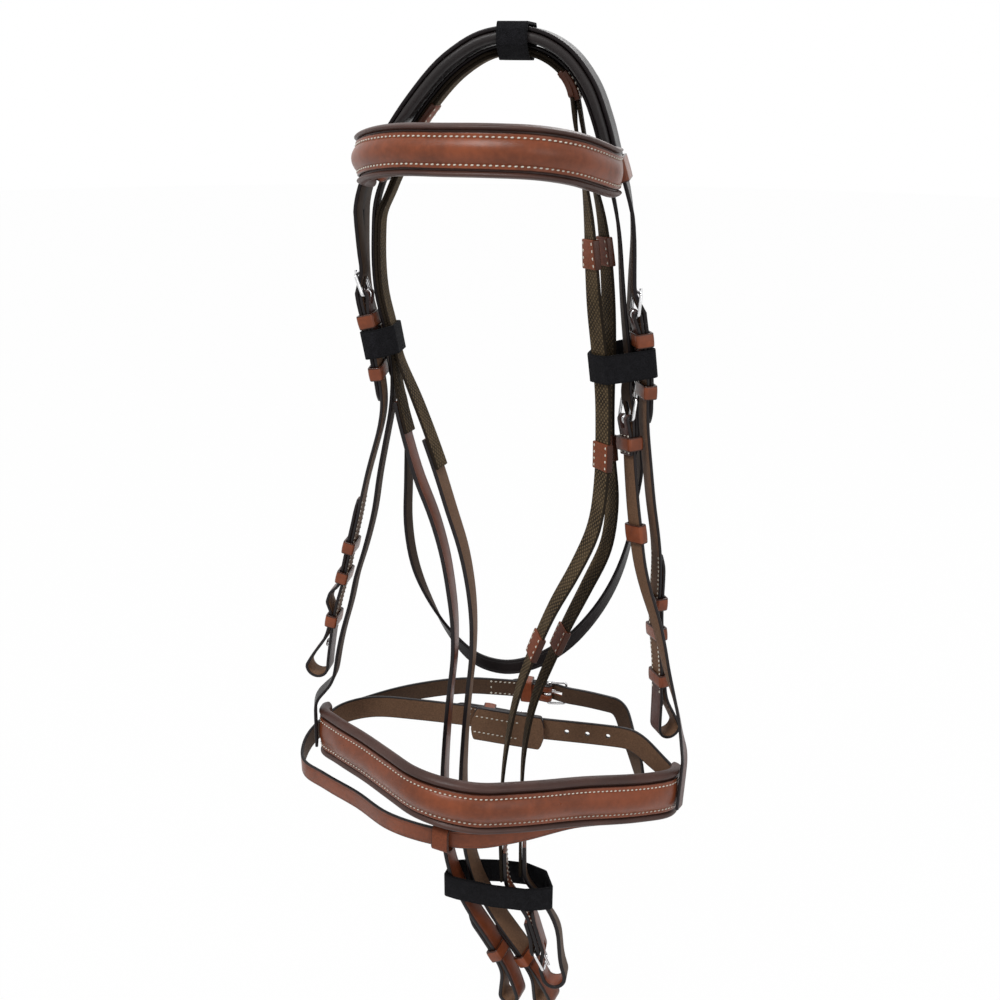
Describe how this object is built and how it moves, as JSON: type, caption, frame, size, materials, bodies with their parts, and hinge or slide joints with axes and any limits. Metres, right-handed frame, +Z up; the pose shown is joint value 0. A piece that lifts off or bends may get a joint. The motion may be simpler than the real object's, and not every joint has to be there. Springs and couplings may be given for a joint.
{
  "type": "bridle",
  "caption": "English snaffle bridle with padded browband and noseband, flash strap and web reins, gathered by hook-and-loop ties and hung up",
  "frame": {"origin": "centre of the underside of the top tie, where the bundle hangs on its hook", "axes": "+X to the right of the bridle as it hangs seen from the front, +Y away from the viewer, +Z up"},
  "size_m": [0.3139, 0.1913, 0.74],
  "materials": {
    "black_leather": "satin",
    "dark_leather": "satin",
    "rust_leather": "satin",
    "web": "woven",
    "tie": "woven",
    "steel": "polished"
  },
  "bodies": {
    "bridle": {"bottom_tie": "tie", "browband_lining": "black_leather", "browband_loop_near": "rust_leather", "browband_loop_off": "rust_leather", "browband_strip": "rust_leather", "chin_guard": "black_leather", "crown_pad": "black_leather", "crownpiece": "black_leather", "flash_buckle": "steel", "flash_keeper": "rust_leather", "flash_loop": "rust_leather", "flash_strap": "rust_leather", "hanger_buckle": "steel", "hanger_keeper": "rust_leather", "headstrap": "black_leather", "left_tie": "tie", "near_bit_keeper_1": "rust_leather", "near_bit_keeper_2": "rust_leather", "near_cheek_buckle": "steel", "near_cheek_keeper_upper": "rust_leather", "near_cheekpiece": "dark_leather", "near_hanger": "dark_leather", "near_hook_stud": "steel", "nose_billet": "dark_leather", "nose_buckle": "steel", "nose_keeper": "rust_leather", "nose_strap": "dark_leather", "noseband_lining": "black_leather", "noseband_strip": "rust_leather", "off_bit_keeper_1": "rust_leather", "off_bit_keeper_2": "rust_leather", "off_cheek_buckle": "steel", "off_cheek_keeper_upper": "rust_leather", "off_cheekpiece": "dark_leather", "off_hook_stud": "steel", "rein_a_keeper": "rust_leather", "rein_a_leather": "rust_leather", "rein_a_web": "web", "rein_b_keeper": "rust_leather", "rein_b_leather": "rust_leather", "rein_b_web": "web", "rein_buckle": "steel", "rein_centre_billet": "rust_leather", "rein_centre_strap": "rust_leather", "right_tie": "tie", "throat_buckle": "steel", "throatlatch": "black_leather", "top_tie": "tie"},
    "off_cheek_tongue_body": {"off_cheek_tongue": "steel"},
    "near_cheek_tongue_body": {"near_cheek_tongue": "steel"},
    "throat_tongue_body": {"throat_tongue": "steel"},
    "hanger_tongue_body": {"hanger_tongue": "steel"},
    "nose_tongue_body": {"nose_tongue": "steel"},
    "flash_tongue_body": {"flash_tongue": "steel"},
    "rein_tongue_body": {"rein_tongue": "steel"},
    "off_cheek_keeper_lower_body": {"off_cheek_keeper_lower": "rust_leather"},
    "off_bit_keeper_3_body": {"off_bit_keeper_3": "rust_leather"},
    "near_cheek_keeper_lower_body": {"near_cheek_keeper_lower": "rust_leather"},
    "near_bit_keeper_3_body": {"near_bit_keeper_3": "rust_leather"},
    "gathering_keeper_body": {"gathering_keeper": "rust_leather"}
  },
  "joints": [
    {"name": "off_cheek_tongue_hinge", "type": "hinge", "parent": "bridle", "child": "off_cheek_tongue_body", "pos_m": [-0.10256, -0.009, -0.15399], "axis": [0, -1, 0], "range_deg": [0, 60]},
    {"name": "near_cheek_tongue_hinge", "type": "hinge", "parent": "bridle", "child": "near_cheek_tongue_body", "pos_m": [0.08397, -0.00517, -0.16195], "axis": [-0.2968, 0.9543, -0.034], "range_deg": [0, 60]},
    {"name": "throat_tongue_hinge", "type": "hinge", "parent": "bridle", "child": "throat_tongue_body", "pos_m": [0.08163, 0.02154, -0.22913], "axis": [-0.4158, 0.9079, -0.0534], "range_deg": [0, 60]},
    {"name": "hanger_tongue_hinge", "type": "hinge", "parent": "bridle", "child": "hanger_tongue_body", "pos_m": [0.08065, -0.00532, -0.23549], "axis": [-0.6067, 0.7876, -0.1076], "range_deg": [0, 7]},
    {"name": "nose_tongue_hinge", "type": "hinge", "parent": "bridle", "child": "nose_tongue_body", "pos_m": [-0.00817, 0.03687, -0.51228], "axis": [0.0988, 0.0001, 0.9951], "range_deg": [0, 60]},
    {"name": "flash_tongue_hinge", "type": "hinge", "parent": "bridle", "child": "flash_tongue_body", "pos_m": [0.0193, 0.06828, -0.49853], "axis": [0.0376, -0.0008, 0.9993], "range_deg": [0, 60]},
    {"name": "rein_tongue_hinge", "type": "hinge", "parent": "bridle", "child": "rein_tongue_body", "pos_m": [0.03007, -0.05428, -0.65541], "axis": [0, -0.9955, 0.0948], "range_deg": [0, 50]},
    {"name": "off_cheek_keeper_lower_slide", "type": "slide", "parent": "bridle", "child": "off_cheek_keeper_lower_body", "axis": [0.1292, 0.1014, -0.9864], "range_m": [-0.003, 0.003]},
    {"name": "off_bit_keeper_3_slide", "type": "slide", "parent": "bridle", "child": "off_bit_keeper_3_body", "axis": [-0.2566, -0.0087, -0.9665], "range_m": [-0.006, 0.006]},
    {"name": "near_cheek_keeper_lower_slide", "type": "slide", "parent": "bridle", "child": "near_cheek_keeper_lower_body", "axis": [0.1076, 0.0324, -0.9937], "range_m": [-0.003, 0.003]},
    {"name": "near_bit_keeper_3_slide", "type": "slide", "parent": "bridle", "child": "near_bit_keeper_3_body", "axis": [0.0159, 0.0532, -0.9985], "range_m": [-0.006, 0.006]},
    {"name": "gathering_keeper_slide", "type": "slide", "parent": "bridle", "child": "gathering_keeper_body", "axis": [0.1506, -0.0454, -0.9875], "range_m": [-0.006, 0.006]}
  ]
}
